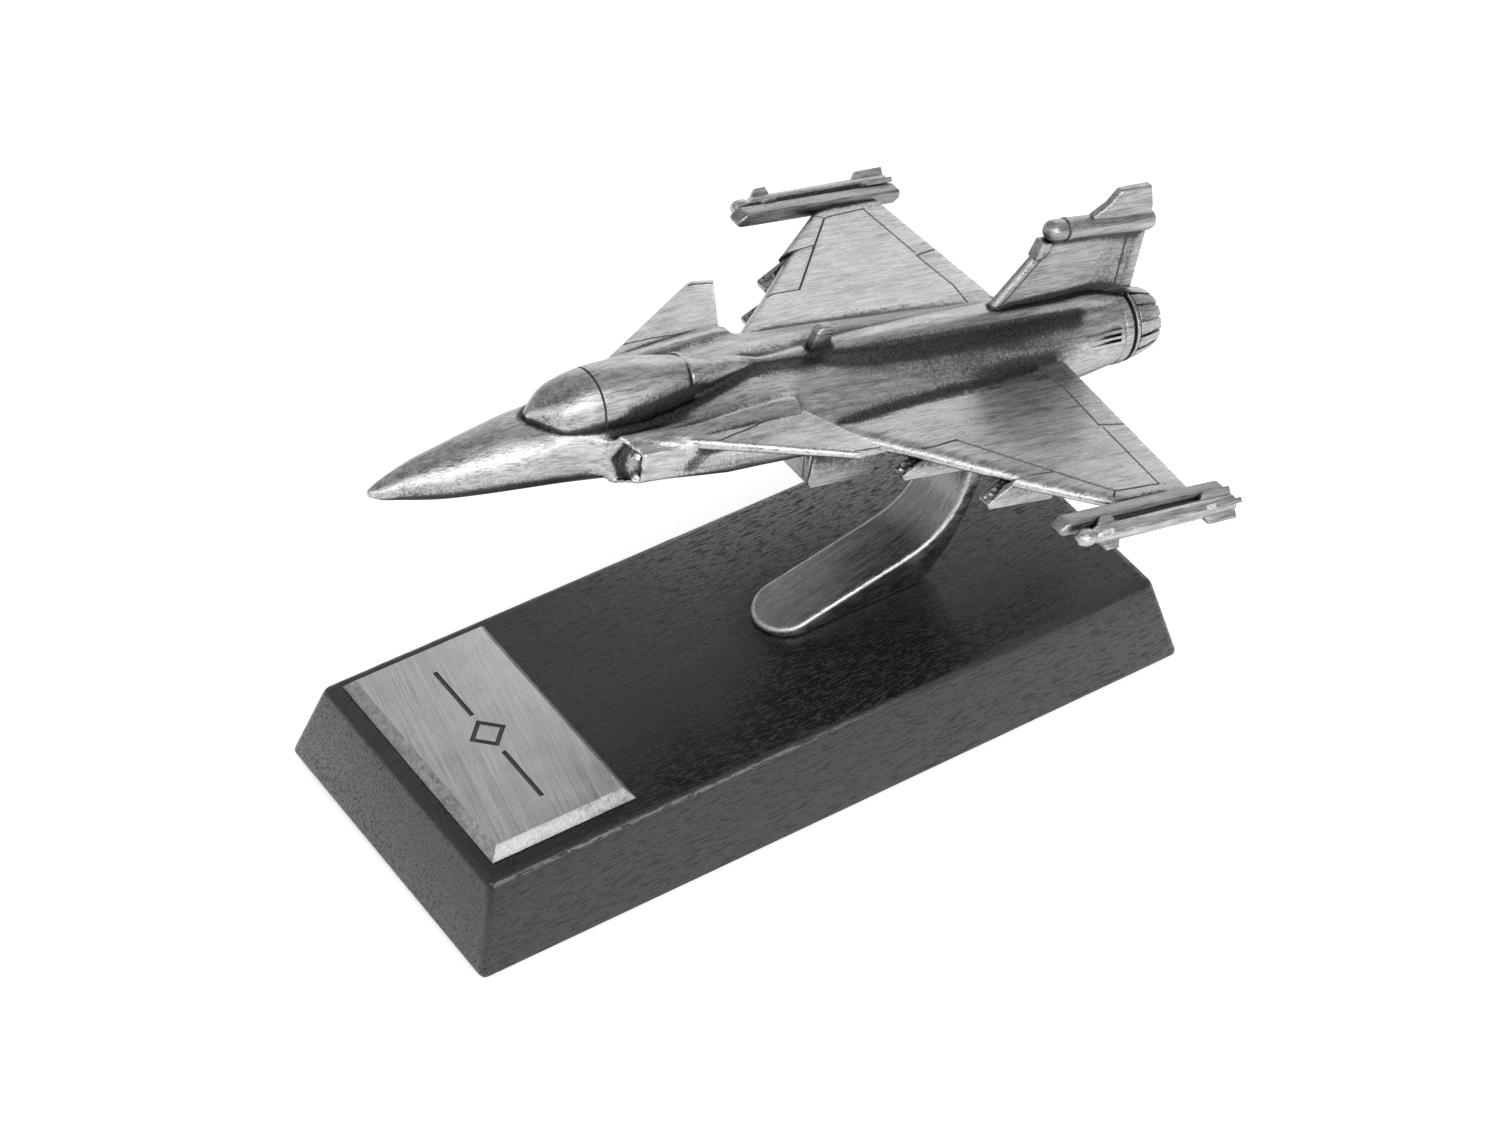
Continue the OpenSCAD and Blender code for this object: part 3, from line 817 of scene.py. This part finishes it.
def ball(name, radius, pole, steps, turns, place, material):
    """A ball whose outline starts and stops short of its poles by an angle."""
    line = [(radius * math.sin(a), -radius * math.cos(a))
            for a in np.linspace(pole, math.pi - pole, steps)]
    return new_piece(name, *skin_rings(lathe(line, turns)), place, material)


bead_pewter = pewter_finish("bead_pewter", 0.75, 0.1, 0.25, (0.3, 0.3, 0.3))
beads = []
for side in (-1, 1):
    for x, s, t, radius in ((9.2, 38.2, 4.6, 0.8), (8.7, 37.9, 4.1, 0.45), (9.7, 38.5, 1.1, 0.85)):
        spot = flying @ Matrix.Translation((side * x, s, t))
        beads.append(ball("mouth_bead", radius, 0.1, 12, 24, spot, bead_pewter))
mouth_beads = beads.pop()
mouth_beads.name = "mouth_beads"
for bead in beads:
    combine(mouth_beads, bead, "UNION")
smooth(mouth_beads, 60)
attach(mouth_beads, "root")

# ---- Canopy
# A separate casting with a line where the fixed windscreen meets the hinged hood. It sits in
# a narrow gap cut round its foot.
ROUND = 2 / 2.2                     # a little boxier than an ellipse
canopy_rings = []
for s in np.concatenate([[24.1], np.arange(24.5, 52.1, 0.5)]):
    width = float(faired(CANOPY, 1, np.array(s)))
    rise = float(faired(CANOPY, 2, np.array(s))) - SILL
    back = np.clip((s - 46) / 6, 0, 1)
    ring = []
    for a in np.linspace(0, math.pi, 33):
        c, d = math.cos(a), math.sin(a)
        slant = back * (0.9 - 1.6 * (1 - d)**2 * (d + 0.5))
        ring.append((width * math.copysign(abs(c)**ROUND, c), s - slant, SILL + rise * d**ROUND))
    low_ring = [(-width, s, SILL - 1.4), (width, s, SILL - 1.4)]
    canopy_rings.append(ring + low_ring)
back_line = [(x, s - 0.35, t) for x, s, t in canopy_rings[-1][2:31]]
canopy = new_piece("canopy_casting", *skin_rings(canopy_rings), flying, aircraft_pewter)
arch = [(5.2 * math.cos(a), 34.9 - 1.1 * math.sin(a), SILL + 6.2 * math.sin(a))
        for a in np.linspace(0, math.pi, 25)]
engrave(canopy, [arch, back_line], flying, 0.36, 0.3)
finish_casting(canopy, "canopy", 40)

# ---- Exhaust nozzle
# A short turned cone with a ring at its root. Its petals are one small part that is repeated
# round the axis.
on_engine = (flying @ Matrix.Translation((0, 131.5, ENGINE_HEIGHT))
             @ Matrix.Rotation(math.radians(-90), 4, "X"))


def round_axis(name, part, copies, place, material):
    """Copies of a part, evenly round its Z axis, as one plain mesh."""
    tree = bpy.data.node_groups.new(name, "GeometryNodeTree")
    sockets = {}
    for label, kind in (("Part", "NodeSocketObject"), ("Copies", "NodeSocketInt"),
                        ("Finish", "NodeSocketMaterial")):
        sockets[label] = tree.interface.new_socket(label, in_out="INPUT", socket_type=kind).identifier
    tree.interface.new_socket("Geometry", in_out="OUTPUT", socket_type="NodeSocketGeometry")
    given = Wire(tree).node("NodeGroupInput", {}, {}, "Part")
    source = given.socket.node
    copies_wire = Wire(tree, source.outputs["Copies"])
    index = given.node("GeometryNodeInputIndex", {}, {}, "Index")
    turn = given.maths("DIVIDE", index * (2 * math.pi), copies_wire)
    rotation = given.node("ShaderNodeCombineXYZ", {}, {"Z": turn})
    spots = given.node("GeometryNodeMeshLine", {}, {
        "Count": copies_wire, "Offset": (0, 0, 0)}, "Mesh")
    shape = given.node("GeometryNodeObjectInfo", {}, {"Object": given}, "Geometry")
    placed = given.node("GeometryNodeInstanceOnPoints", {}, {
        "Points": spots, "Instance": shape, "Rotation": rotation}, "Instances")
    real = given.node("GeometryNodeRealizeInstances", {}, {"Geometry": placed}, "Geometry")
    done = given.node("GeometryNodeSetMaterial", {}, {
        "Geometry": real, "Material": Wire(tree, source.outputs["Finish"])}, "Geometry")
    tree.links.new(done.socket, tree.nodes.new("NodeGroupOutput").inputs["Geometry"])
    piece = bpy.data.objects.new(name, bpy.data.meshes.new(name))
    root.objects.link(piece)
    ring = piece.modifiers.new("ring", "NODES")
    ring.node_group = tree
    for label, value in (("Part", part), ("Copies", copies), ("Finish", material)):
        ring[sockets[label]] = value
    settle(piece)
    bpy.data.objects.remove(part)
    piece.data.transform(place)
    return piece


nozzle = new_piece("exhaust_nozzle_turned", *skin_rings(lathe(
    [(6.1, 0), (6.15, 0.2), (6.2, 0.6), (6.2, 1.6), (5.95, 1.8), (5.6, 1.9), (5.6, 2.4), (5.9, 2.5),
     (6.05, 2.7), (6.0, 3.1), (5.6, 3.3), (5.5, 3.6), (4.4, 8.3), (4.1, 8.5), (3.8, 8.3), (3.4, 3.4)],
    96)), on_engine, aircraft_pewter)
PETALS = 15
across_petal = np.linspace(-9.5, 9.5, 5) * math.pi / 180
petal = new_piece("petal", *skin_rings([
    [(r * math.cos(a), r * math.sin(a), z) for a in across_petal]
    + [((r - 0.5) * math.cos(a), (r - 0.5) * math.sin(a), z) for a in across_petal[::-1]]
    for r, z in ((5.75, 3.4), (5.85, 3.6), (5.5, 5.5), (4.8, 8.0), (4.6, 8.5))]), Matrix())
petals = round_axis("petals", petal, PETALS, on_engine, aircraft_pewter)
combine(nozzle, petals, "UNION")
finish_casting(nozzle, "exhaust_nozzle", 30)

# ---- Wings and canards
# Thin castings with round leading edges. The flaps and the elevons are only engraved. Inboard
# they run on into the body, so that no joint shows.


def surface_rings(spans, lead, trail, full, nose, tail):
    """Sections of a thin surface: where it leads and trails, its thickness, its round nose."""
    rings = []
    for x in spans:
        (s0, t0), (s1, t1) = lead(x), trail(x)
        behind = np.concatenate([nose * (1 - np.cos(np.linspace(0, math.pi / 2, 9))),
                                 np.linspace(nose, s1 - s0, 26)[1:]])
        share = behind / (s1 - s0)
        half = half_thickness(full(x), behind, nose, share, tail)
        middle = t0 + (t1 - t0) * share
        across = np.full_like(behind, x)
        upper = np.stack([across, s0 + behind, middle + half], -1)
        lower = np.stack([across, s0 + behind, middle - half], -1)
        rings.append(np.concatenate([upper, lower[:0:-1]]))
    return np.array(rings)


def mirrored(lines, side, height):
    """Lines on a left-hand piece, given as (x, station), for the piece on a side."""
    return [[(side * x, s, height) for x, s in line] for line in lines]


WING_SPANS = np.concatenate([np.linspace(9, 29.86, 30), np.linspace(29.9, 40.5, 15)])
WING_LINES = [[(20.8, 80.6), (20.3, 84), (20.1, 87.4)], [(20.1, 87.4), (37.1, 104.5)],
              [(37.1, 104.5), (38.6, 103.2)], [(29.9, 90.4), (30.6, 97.8)],
              [(8.5, 111.4), (14, 112.6), (23.4, 112.4)], [(23.2, 112.3), (24.2, 117.4)],
              [(23.9, 112.7), (37.6, 112.8)], [(37.1, 104.5), (37.6, 112.8)],
              [(37.6, 112.8), (38.4, 117.4)]]
for side, hand in ((1, "left"), (-1, "right")):
    rings = surface_rings(WING_SPANS, lambda x: (float(wing_lead(x)), wing_middle(x, 0)),
                          lambda x: (WING_TRAIL, wing_middle(x, 1)), wing_thickness,
                          WING_NOSE, WING_TAIL)
    wing = new_piece("wing_casting_" + hand, *skin_rings(rings * (side, 1, 1)), flying,
                     aircraft_pewter)
    engrave(wing, mirrored(WING_LINES, side, 6), flying)
    finish_casting(wing, "wing_" + hand, 50)

CANARD_LINES = [[(12.5, 49), (11.8, 55), (9.5, 62)], [(21.4, 66.8), (21.4, 72.3)]]
for side, hand in ((1, "left"), (-1, "right")):
    rings = surface_rings(
        np.linspace(8.6, 22.2, 24),
        lambda x: (canard_lead(x), 5.8 + (x - 10.6) * 0.129),
        lambda x: (float(np.interp(x, [8, 10.8, 16.2, 22.2], [63, 65, 68.4, 72.1])),
                   7.8 - (x - 10.6) * 0.06 - 0.6 * max(0.0, 11.2 - x)),
        lambda x: float(np.interp(x, [10.6, 22.2], [1.7, 1.2])), 1.2, 0.4)
    canard = new_piece("canard_casting_" + hand, *skin_rings(rings * (side, 1, 1)), flying,
                       aircraft_pewter)
    engrave(canard, mirrored(CANARD_LINES, side, 9), flying, 0.3, 0.22)
    finish_casting(canard, "canard_" + hand, 50)

# ---- Fin
# A flat fin with an engraved rudder, stood in the spine. A round fairing with a ring lies along its tip,
# with a cap on top and a little box at the leading edge. It, the blade on the spine and the pylons get a
# darker copy of the pewter than the level faces: painted shade on upright pieces.
upright_shaded_pewter = pewter_finish("upright_shaded_pewter", 0.31, 0.036, 0.29, (0.26, 4, 0.26),
                               (PITCH_DEGREES, 0, 0))
rings = surface_rings(np.linspace(8, 21.8, 22),
                      lambda t: (float(np.interp(t, [8, 10.8, 20.2, 21.8], [106, 106.8, 113.7, 117])), 0),
                      lambda t: (float(np.interp(t, [8, 9.6, 20.6, 22], [134.8, 134.8, 134.2, 134])), 0),
                      lambda t: 1.6, 0.9, 0.6)
fin = new_piece("fin_casting", *skin_rings(rings[:, :, [2, 1, 0]]), flying, upright_shaded_pewter)
FAIRING = 1.7                       # radius
on_fairing = (flying @ Matrix.Translation((0, 115.4, 22.7))
              @ Matrix.Rotation(math.radians(-93.5), 4, "X"))
fairing_line = [(FAIRING * math.sin(a), -FAIRING * math.cos(a))
                for a in np.linspace(0.15, math.pi / 2, 9)]
fairing_line += [(FAIRING, 1.6), (1.45, 1.75), (1.45, 1.95), (1.8, 2.1), (1.85, 2.4), (1.75, 3),
                 (FAIRING, 18.6), (1.5, 19.4), (1.1, 19.6)]
fairing = new_piece("fin_fairing", *skin_rings(lathe(fairing_line, 40)), on_fairing, upright_shaded_pewter)
combine(fin, fairing, "UNION")
box_side = [(112.4, 18.3), (114.8, 18.5), (115.2, 21.2), (113.2, 21.4)]
cap_side = [(122, 22), (122.4, 24.3), (125, 26), (126.6, 28.2), (132.6, 28.2), (134.1, 24.4),
            (134.4, 22)]
for name, outline, width in (("fin_box", box_side, 2.1), ("fin_cap", cap_side, 1.4)):
    combine(fin, side_plate(name, outline, 0, width, 0.35, flying, upright_shaded_pewter), "UNION")
FIN_LINES = [[(107.6, 10.6), (134.6, 9.6)], [(130.5, 20.2), (131.3, 8.2)],
             [(131.3, 8.3), (134.4, 8.3)], [(108.4, 10.9), (114.6, 19.2)]]
for flat in (-0.9, 0.9):
    engrave(fin, [[(flat, *p) for p in line] for line in FIN_LINES], flying, 0.34, 0.24)
finish_casting(fin, "fin", 35)

antenna_side = [(72.8, 8.6), (76.8, 8.6), (76.5, 13.0), (76.0, 13.6), (74.2, 13.6), (73.5, 12.8)]
antenna = side_plate("antenna_blade", antenna_side, 0, 1.7, 0.5, flying, upright_shaded_pewter)
finish_casting(antenna, "spine_antenna", 50)

# ---- Pylons
# Blocks under the body and the wings. The fronts of the wing pylons came rough and pitted out
# of the mould and were never dressed.
pylon_side = [(74.4, -4.6), (76, -12.1), (76.6, -12.7), (86, -12.7), (87.6, -11.6), (88.4, -4.6)]
pylon_plan = [(-5, 76.5), (-4, 73.9), (4, 73.9), (5, 76.5), (5, 89), (-5, 89)]
# The pylons take the darker upright pewter: painted shade.
pylon = side_plate("belly_pylon_casting", pylon_side, 0, 10, 0, flying, upright_shaded_pewter)
combine(pylon, plan_block("pylon_plan", pylon_plan, -20, 0, flying, upright_shaded_pewter), "INTERSECT")
soften(pylon, 0.5, 4)
engrave(pylon, [[(4.6, 75.4, -5), (4.6, 75.9, -12)], [(3.4, 74.2, -5), (3.4, 74.6, -12)]],
        flying, 0.3, 0.22)
finish_casting(pylon, "belly_pylon", 40)

pits = np.random.default_rng(7)
for name, x, nose, low in (("inner_pylon", 19.8, 78, -1.3), ("outer_pylon", 28.6, 87.4, -2.3)):
    for side, hand in ((1, "left"), (-1, "right")):
        wing_height = wing_middle(x, 1)
        piece = side_plate(name + "_casting_" + hand, [
            (nose + 5, wing_height), (nose, low + 1.7), (nose + 0.6, low + 0.7), (nose + 12.5, low),
            (nose + 17, wing_height)], side * x, 2.4, 0.3, flying, upright_shaded_pewter)
        for k in np.linspace(0.12, 0.8, 6):
            radius = pits.uniform(0.5, 0.85)
            at = (side * x + pits.uniform(-0.35, 0.35), nose + 5 * k - 0.25,
                  low + 1.7 + (wing_height - low - 1.7) * k + 0.2)
            pit = ball("pit", radius, 0.2, 9, 14, flying @ Matrix.Translation(at), upright_shaded_pewter)
            combine(piece, pit, "DIFFERENCE")
        finish_casting(piece, name + "_" + hand, 40)

# ---- Wing-tip rails and missiles
# A rail with a blunt bevelled nose closes each wing tip, darker than the rest. A slim missile
# hangs on its outer face, with two sets of four fins.
rail_pewter = pewter_finish("rail_pewter", 0.24, 0.035, 0.3, (0.26, 4, 0.26), (PITCH_DEGREES, 0, 0))
RAIL_SIDE = [(89.9, 2.8), (90.8, 1.8), (121, 1.2), (122.1, 2.2), (121.8, 3.7), (91.5, 4.2)]
MISSILE_LINE = [(0.35, 92), (0.8, 92.2), (1.15, 92.7), (1.3, 93.4), (1.3, 94.2), (1.05, 94.8),
                (1.1, 95.2), (1.35, 95.8), (1.35, 121.0), (1.2, 121.6), (0.9, 121.8)]
MISSILE_FINS = [[(0.3, 95), (2.5, 97), (2.5, 98.8), (0.3, 99.6)],
                [(0.3, 114.8), (2.4, 116.6), (2.4, 121.6), (0.3, 121.6)]]
for side, hand in ((1, "left"), (-1, "right")):
    low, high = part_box("tip_rail_" + hand)
    rail = side_plate("tip_rail_casting_" + hand, RAIL_SIDE, (low.x + high.x) / (2 * MM),
                      (high.x - low.x) / MM, 0.55, flying, rail_pewter)
    rail_face = low.x / MM if side < 0 else high.x / MM
    engrave(rail, [[(rail_face, 94, 3.3), (rail_face, 120, 2.9)]], flying, 0.3, 0.24)
    finish_casting(rail, "tip_rail_" + hand, 50)

    on_missile = (flying @ Matrix.Translation((side * 44, 0, 2.5))
                  @ Matrix.Rotation(math.radians(-90), 4, "X"))
    missile = new_piece("tip_missile_casting_" + hand, *skin_rings(lathe(MISSILE_LINE, 32)),
                        on_missile, aircraft_pewter)
    for outline in MISSILE_FINS:
        blade = side_plate("blade", outline, 0, 0.8, 0.18,
                           Matrix.Rotation(math.radians(-45), 4, "Z"), aircraft_pewter)
        fins = round_axis("missile_fins", blade, 4, on_missile, aircraft_pewter)
        combine(missile, fins, "UNION")
    finish_casting(missile, "tip_missile_" + hand, 35)

# ---- Patina and painted shade
# Blackening is polished off wherever the buff reaches, and the same darkening paints the shade that falls
# in hollows and between parts. What counts is how much metal stands in front of a place, so the castings
# are filled into a grid, blurred, and read just off the skin.
CELL = 0.6
MARGIN = 12
corners = np.array([corner for piece in castings for corner in piece.bound_box])
grid_low = corners.min(0) - MARGIN * MM
counts = np.ceil((corners.max(0) + MARGIN * MM - grid_low) / (CELL * MM)).astype(int)
metal = np.zeros(counts, np.float32)
layers = np.arange(counts[2])
for piece in castings:
    mesh = piece.data
    surface = BVHTree.FromPolygons([v.co for v in mesh.vertices], [p.vertices for p in mesh.polygons])
    box = np.array(piece.bound_box)
    first = np.floor((box.min(0) - grid_low) / (CELL * MM)).astype(int)
    last = np.ceil((box.max(0) - grid_low) / (CELL * MM)).astype(int)
    for i in range(first[0], last[0] + 1):
        for j in range(first[1], last[1] + 1):
            start = Vector((grid_low[0] + (i + 0.5) * CELL * MM, grid_low[1] + (j + 0.5) * CELL * MM,
                            box[:, 2].max() + MM))
            heights = []
            while len(heights) < 12:
                found = surface.ray_cast(start, Vector((0, 0, -1)))[0]
                if found is None:
                    break
                heights.append((found.z - grid_low[2]) / (CELL * MM))
                start = found - Vector((0, 0, 1e-6))
            for above, below in zip(heights[::2], heights[1::2]):
                filled = np.minimum(above, layers + 1) - np.maximum(below, layers)
                metal[i, j] = np.maximum(metal[i, j], np.clip(filled, 0, 1))


def blurred(cells, reach):
    """Each cell's share of metal over reach cells either way, three times over."""
    for axis in (0, 1, 2) * 3:
        total = np.cumsum(np.moveaxis(cells, axis, 0), 0)
        total = np.concatenate([np.zeros((reach + 1,) + total.shape[1:]), total,
                                np.repeat(total[-1:], reach, 0)])
        cells = np.moveaxis((total[2 * reach + 1:] - total[:-2 * reach - 1]) / (2 * reach + 1), 0, axis)
    return cells


# Cells blurred either way, millimetres off the skin, and the shares of metal that are bright and black.
# The black is patina and painted shade.
NEAR = {"reach": 1, "off": 0.6, "low": 0.258, "high": 0.36}
WIDE = {"reach": 4, "off": 2.4, "low": 0.21, "high": 0.48}
# Bands painted darker, partly patina along creases and partly painted shade, such as the one along the
# lower side of the nose: a line of places, its reach and how black it is.
PATINA_AND_SHADE_BANDS = [([(1.9, 63, 9.3), (3.1, 82, 8.9), (3.6, 104, 8.8), (3.9, 122, 8.3)], 2.5, 0.95),
         ([(4.4, 78, 8.8), (5.7, 104, 7.7), (6.5, 118, 6.0)], 5.0, 0.58),
         ([(1.6, 5, -0.5), (3.2, 12, -0.8), (4.6, 21, -0.8), (5.6, 32, -0.8), (6, 42, -0.8)], 3.4, 0.55),
         ([(10.5, 45, 0.6), (12, 60, 0.8), (12.5, 74, 1.2)], 4, 0.35),
         ([(4.9, 30, 7.4), (4.9, 41, 7.4), (4.4, 50, 8.0), (1.9, 63, 9.3)], 1.3, 0.5),
         ([(4.8, 39.5, 8.3), (4.4, 45, 8.8), (3.6, 51, 9.2)], 2.8, 0.95),
         ([(11.2, 64.5, 7.0), (12.2, 70, 5.6), (10.5, 84, 5.6), (9.2, 110, 5.0)], 2.4, 0.5)]
RIGHT_SHARE = 0.4                   # of the bands' darkening, patina and painted shade, that is also painted on the right side


def points_of(mesh):
    """Where a mesh's points are."""
    places = np.zeros(len(mesh.vertices) * 3)
    mesh.vertices.foreach_get("co", places)
    return places.reshape(-1, 3)


shares = {}
for scale in (NEAR, WIDE):
    soft = blurred(metal, scale["reach"])
    for piece in castings:
        mesh = piece.data
        outward = np.zeros(len(mesh.vertices) * 3)
        mesh.vertex_normals.foreach_get("vector", outward)
        outward = outward.reshape(-1, 3)
        off_skin = points_of(mesh) + outward * scale["off"] * MM
        share = read_grid(soft, (off_skin - grid_low) / (CELL * MM) - 0.5)
        patina_and_shade_mask = np.clip((share - scale["low"]) / (scale["high"] - scale["low"]), 0, 1)
        shares[piece.name] = shares.get(piece.name, 0) + patina_and_shade_mask
        if scale is NEAR:
            # Convex edges, with little metal round them, get the lighter colour: rubbed polish and a
            # painted highlight.
            rubbed_and_highlit = mesh.attributes.new("rubbed_and_highlit", "FLOAT", "POINT")
            rubbed_and_highlit.data.foreach_set("value", np.clip((0.19 - share) / 0.09, 0, 1).astype(np.float32))
            # Undersides are painted darker: painted shade.
            shares[piece.name] += np.clip((-outward[:, 2] - 0.15) / 0.6, 0, 0.75)
to_aircraft = np.array(flying.inverted())
for piece in (fuselage, canopy):
    places = points_of(piece.data) @ to_aircraft[:3, :3].T + to_aircraft[:3, 3]
    side_share = np.where(places[:, 0] > 0, 1, RIGHT_SHARE)
    places[:, 0] = np.abs(places[:, 0])
    for line, reach, black in PATINA_AND_SHADE_BANDS:
        nearest = np.full(len(places), np.inf)
        for start, end in zip(np.array(line), np.array(line[1:])):
            along = np.clip((places - start) @ (end - start) / ((end - start)**2).sum(), 0, 1)
            gap = np.linalg.norm(places - start - along[:, None] * (end - start), axis=1)
            nearest = np.minimum(nearest, gap)
        shares[piece.name] += np.clip(black * (1 - nearest / reach), 0, 1) * side_share
for piece in castings:
    patina_and_shade = piece.data.attributes.new("patina_and_shade", "FLOAT", "POINT")
    patina_and_shade.data.foreach_set("value", np.clip(shares[piece.name], 0, 1).astype(np.float32))
